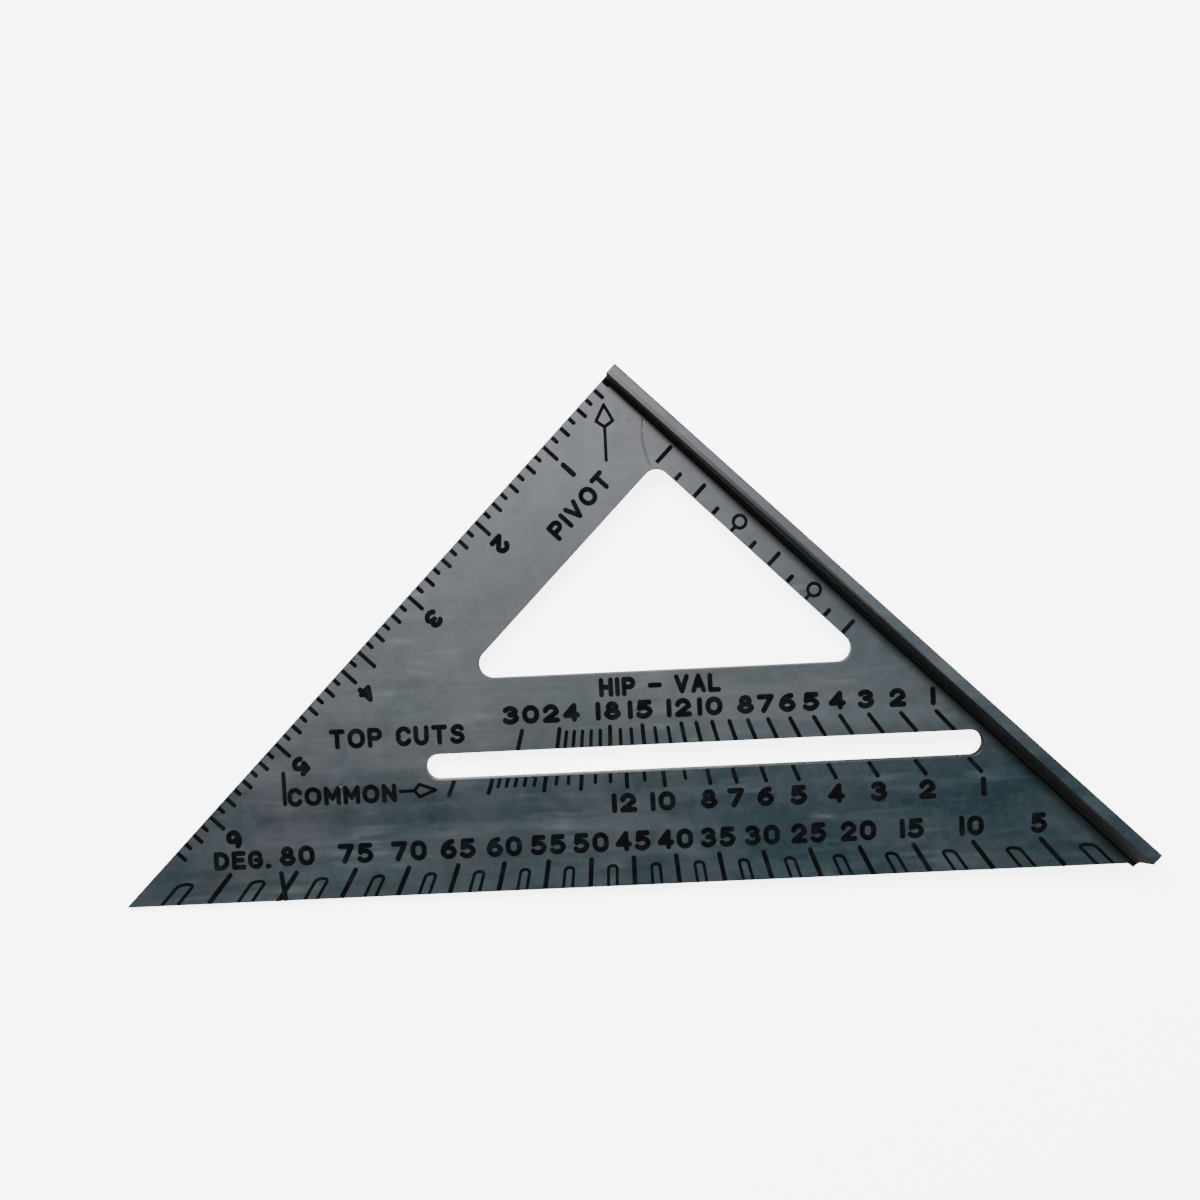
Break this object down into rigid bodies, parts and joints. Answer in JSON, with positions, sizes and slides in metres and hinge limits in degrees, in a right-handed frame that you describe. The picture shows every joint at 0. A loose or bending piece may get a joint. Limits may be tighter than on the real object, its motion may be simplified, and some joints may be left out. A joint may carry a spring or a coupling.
{
  "type": "rafter square",
  "caption": "Triangular rafter and layout square in black moulded plastic, with a T-section fence along one leg, a scribing slot, a hand hole and raised inch, degree and roof-pitch scales.",
  "frame": {"origin": "the pivot, the zero of the inch scale, where the plane of the leg edge meets the middle of the fence, at the underside of the blade", "axes": "+X along the hypotenuse towards the fence's far end, +Y away from the hypotenuse, +Z out of the marked face"},
  "size_m": [0.261, 0.1329, 0.019],
  "materials": {
    "black_moulding": "satin moulded ABS, slightly rubbed",
    "raised_marks": "the same moulding, darker from use"
  },
  "bodies": {
    "root": {"blade": "black_moulding", "fence": "black_moulding", "leg_inch_ticks": "raised_marks", "leg_inch_numerals": "raised_marks", "fence_inch_ticks": "raised_marks", "fence_ring_marks": "raised_marks", "degree_lines": "raised_marks", "degree_arches": "raised_marks", "degree_cross": "raised_marks", "degree_numerals": "raised_marks", "degree_label": "raised_marks", "hip_valley_ticks": "raised_marks", "hip_valley_numerals": "raised_marks", "hip_valley_label": "raised_marks", "common_ticks": "raised_marks", "common_numerals": "raised_marks", "common_label": "raised_marks", "common_arrow": "raised_marks", "common_bar": "raised_marks", "top_cuts_label": "raised_marks", "pivot_label": "raised_marks", "pivot_arrow": "raised_marks"}
  },
  "joints": []
}
